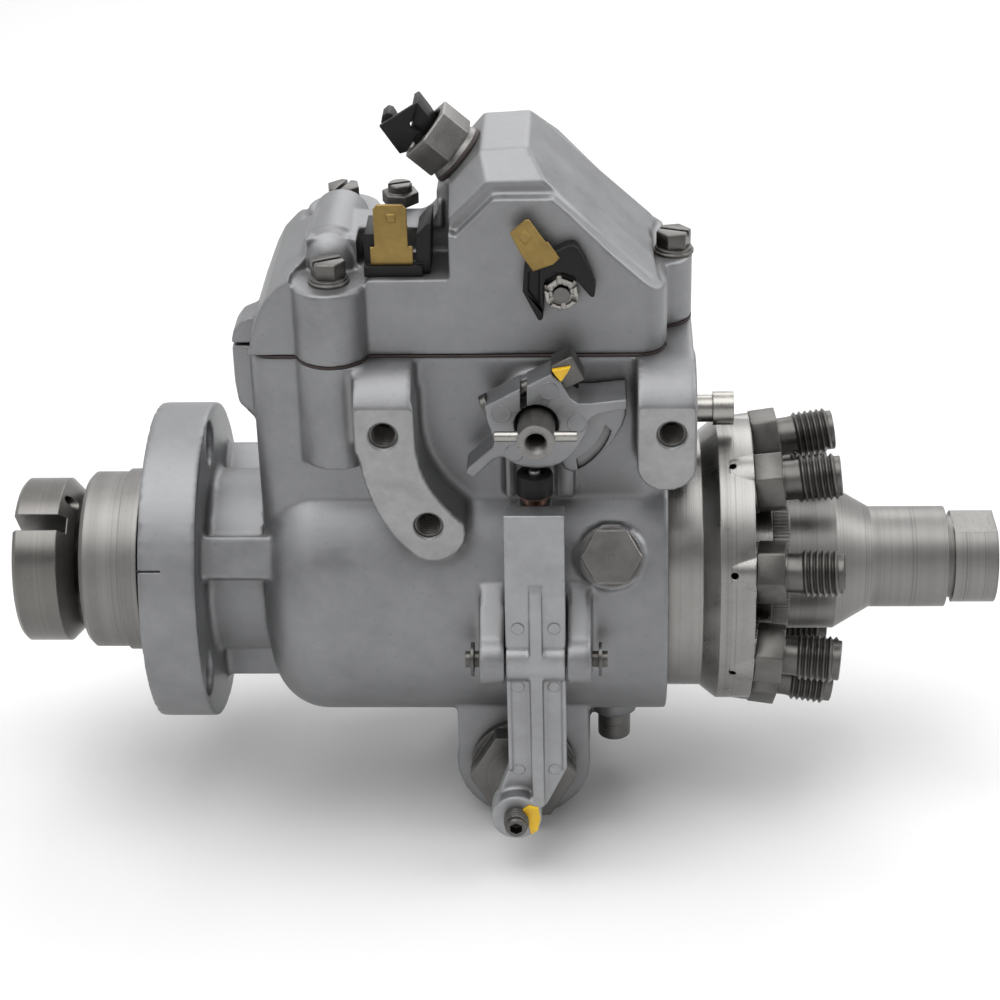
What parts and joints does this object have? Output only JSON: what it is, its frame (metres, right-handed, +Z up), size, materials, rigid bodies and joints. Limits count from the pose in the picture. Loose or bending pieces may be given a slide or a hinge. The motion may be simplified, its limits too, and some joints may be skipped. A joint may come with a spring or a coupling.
{
  "type": "diesel injection pump",
  "caption": "Rotary distributor diesel injection pump with a round mounting flange, throttle lever, governor cover, hydraulic head with a ring of outlets, and an axial fuel inlet.",
  "frame": {"origin": "centre of the mounting flange's face, on the drive axis", "axes": "+X along the drive axis from the drive end to the fuel inlet, +Z up through the governor cover, -Y towards the throttle lever side"},
  "size_m": [0.2545, 0.104, 0.1911],
  "materials": {
    "cast_aluminium": "sand cast, bead blasted",
    "machined_aluminium": "machined",
    "dark_steel": "dark oxide, worn",
    "black_rubber": "smooth",
    "bronze_bush": "machined",
    "zinc_yellow_steel": "yellow zinc",
    "plain_steel": "ground and turned",
    "black_plastic": "moulded",
    "brass_tab": "stamped"
  },
  "bodies": {
    "pump_body": {"advance_plug_front": "plain_steel", "advance_plug_rear": "plain_steel", "advance_solenoid": "plain_steel", "advance_spring": "plain_steel", "cover_gasket": "black_rubber", "cover_screws": "zinc_yellow_steel", "drive_bush": "bronze_bush", "end_cap": "plain_steel", "governor_cover": "cast_aluminium", "governor_pivot_shaft": "plain_steel", "governor_spring": "plain_steel", "guide_stud": "plain_steel", "head_lock_screws": "zinc_yellow_steel", "housing": "cast_aluminium", "hydraulic_head": "plain_steel", "outlet_fittings": "plain_steel", "pilot_o_ring": "black_rubber", "pilot_tube": "dark_steel", "return_clip": "black_plastic", "return_connector": "plain_steel", "rocker_pin": "plain_steel", "shaft_seals": "black_rubber", "shutoff_solenoid": "plain_steel", "terminal_nuts": "plain_steel", "terminal_shrouds": "black_plastic", "terminal_tabs": "brass_tab", "timing_cover": "machined_aluminium", "transfer_pump_liner": "plain_steel"},
    "drive": {"drive_shaft": "dark_steel", "drive_hub": "dark_steel", "weight_retainer": "dark_steel", "distributor_rotor": "plain_steel", "transfer_pump_blades": "plain_steel"},
    "sleeve": {"thrust_sleeve": "plain_steel"},
    "governor_arm": {"governor_arm": "plain_steel"},
    "linkage": {"linkage_hook": "plain_steel"},
    "metering_valve": {"metering_valve": "plain_steel"},
    "throttle": {"throttle_shaft": "plain_steel", "throttle_lever": "plain_steel", "lever_clamp_bolt": "zinc_yellow_steel"},
    "rocker": {"rocker_lever": "dark_steel", "rocker_screw": "zinc_yellow_steel"},
    "roller": {"advance_roller": "black_plastic"},
    "push_pin": {"advance_push_pin": "plain_steel"},
    "cam": {"cam_ring": "dark_steel", "cam_pin": "dark_steel"},
    "advance_piston": {"advance_piston": "plain_steel"},
    "plunger_a": {"pump_plunger_a": "plain_steel", "roller_shoe_a": "plain_steel"},
    "plunger_b": {"pump_plunger_b": "plain_steel", "roller_shoe_b": "plain_steel"},
    "cam_roller_a": {"cam_roller_a": "plain_steel"},
    "cam_roller_b": {"cam_roller_b": "plain_steel"},
    "regulator": {"regulator_piston": "plain_steel"},
    "weight_1": {"governor_weight_1": "dark_steel"},
    "weight_2": {"governor_weight_2": "dark_steel"},
    "weight_3": {"governor_weight_3": "dark_steel"},
    "weight_4": {"governor_weight_4": "dark_steel"},
    "weight_5": {"governor_weight_5": "dark_steel"},
    "weight_6": {"governor_weight_6": "dark_steel"}
  },
  "joints": [
    {"name": "drive_spin", "type": "hinge", "parent": "pump_body", "child": "drive", "pos_m": [0, 0, 0], "axis": [1, 0, 0], "continuous": true},
    {"name": "sleeve_slide", "type": "slide", "parent": "drive", "child": "sleeve", "axis": [1, 0, 0], "range_m": [0, 0.00203]},
    {"name": "weight_1_swing", "type": "hinge", "parent": "drive", "child": "weight_1", "pos_m": [0.0446, -0.025, 0], "axis": [0, 0, -1], "range_deg": [0, 10.01]},
    {"name": "weight_2_swing", "type": "hinge", "parent": "drive", "child": "weight_2", "pos_m": [0.0446, -0.0125, 0.02165], "axis": [0, -0.866, -0.5], "range_deg": [0, 10.01]},
    {"name": "weight_3_swing", "type": "hinge", "parent": "drive", "child": "weight_3", "pos_m": [0.0446, 0.0125, 0.02165], "axis": [0, -0.866, 0.5], "range_deg": [0, 10.01]},
    {"name": "weight_4_swing", "type": "hinge", "parent": "drive", "child": "weight_4", "pos_m": [0.0446, 0.025, 0], "axis": [0, 0, 1], "range_deg": [0, 10.01]},
    {"name": "weight_5_swing", "type": "hinge", "parent": "drive", "child": "weight_5", "pos_m": [0.0446, 0.0125, -0.02165], "axis": [0, 0.866, 0.5], "range_deg": [0, 10.01]},
    {"name": "weight_6_swing", "type": "hinge", "parent": "drive", "child": "weight_6", "pos_m": [0.0446, -0.0125, -0.02165], "axis": [0, 0.866, -0.5], "range_deg": [0, 10.01]},
    {"name": "governor_arm_swing", "type": "hinge", "parent": "pump_body", "child": "governor_arm", "pos_m": [0.066, 0, 0.034], "axis": [0, -1, 0], "range_deg": [0, 3.43]},
    {"name": "linkage_slide", "type": "slide", "parent": "pump_body", "child": "linkage", "axis": [-1, 0, 0], "range_m": [0, 0.00102]},
    {"name": "metering_valve_turn", "type": "hinge", "parent": "pump_body", "child": "metering_valve", "pos_m": [0.116, 0.01, 0.03], "axis": [0, 0, -1], "range_deg": [0, 7.3]},
    {"name": "throttle_turn", "type": "hinge", "parent": "pump_body", "child": "throttle", "pos_m": [0.1001, -0.03, 0.0579], "axis": [0, 1, 0], "range_deg": [0, 45]},
    {"name": "rocker_swing", "type": "hinge", "parent": "pump_body", "child": "rocker", "pos_m": [0.0993, -0.047, -0.002], "axis": [1, 0, 0], "range_deg": [0, 4.01]},
    {"name": "roller_spin", "type": "hinge", "parent": "rocker", "child": "roller", "pos_m": [0.0994, -0.036, 0.04], "axis": [0, 0, 1], "continuous": true},
    {"name": "push_pin_slide", "type": "slide", "parent": "pump_body", "child": "push_pin", "axis": [0, 1, 0], "range_m": [0, 0.00306]},
    {"name": "cam_ring_turn", "type": "hinge", "parent": "pump_body", "child": "cam", "pos_m": [0.095, 0, 0], "axis": [1, 0, 0], "range_deg": [0, 8]},
    {"name": "advance_piston_slide", "type": "slide", "parent": "pump_body", "child": "advance_piston", "axis": [0, 1, 0], "range_m": [0, 0.00643]},
    {"name": "plunger_a_slide", "type": "slide", "parent": "drive", "child": "plunger_a", "axis": [0, 0, 1], "range_m": [0, 0.0012]},
    {"name": "plunger_b_slide", "type": "slide", "parent": "drive", "child": "plunger_b", "axis": [0, 0, -1], "range_m": [0, 0.0012]},
    {"name": "cam_roller_a_spin", "type": "hinge", "parent": "plunger_a", "child": "cam_roller_a", "pos_m": [0.095, 0, 0.0167], "axis": [1, 0, 0], "continuous": true},
    {"name": "cam_roller_b_spin", "type": "hinge", "parent": "plunger_b", "child": "cam_roller_b", "pos_m": [0.095, 0, -0.0167], "axis": [1, 0, 0], "continuous": true},
    {"name": "regulator_slide", "type": "slide", "parent": "pump_body", "child": "regulator", "axis": [1, 0, 0], "range_m": [0, 0.006]}
  ],
  "couplings": [
    {"joint": "weight_1_swing", "follows": "sleeve_slide", "rad_per_m": 85.977},
    {"joint": "weight_2_swing", "follows": "sleeve_slide", "rad_per_m": 85.977},
    {"joint": "weight_3_swing", "follows": "sleeve_slide", "rad_per_m": 85.977},
    {"joint": "weight_4_swing", "follows": "sleeve_slide", "rad_per_m": 85.977},
    {"joint": "weight_5_swing", "follows": "sleeve_slide", "rad_per_m": 85.977},
    {"joint": "weight_6_swing", "follows": "sleeve_slide", "rad_per_m": 85.977},
    {"joint": "governor_arm_swing", "follows": "sleeve_slide", "rad_per_m": 29.412},
    {"joint": "linkage_slide", "follows": "sleeve_slide", "ratio": 0.5},
    {"joint": "metering_valve_turn", "follows": "sleeve_slide", "rad_per_m": 62.5},
    {"joint": "rocker_swing", "follows": "throttle_turn", "ratio": 0.088889},
    {"joint": "push_pin_slide", "follows": "throttle_turn", "m_per_rad": 0.003884},
    {"joint": "advance_piston_slide", "follows": "cam_ring_turn", "m_per_rad": 0.046},
    {"joint": "plunger_b_slide", "follows": "plunger_a_slide", "ratio": 1}
  ]
}
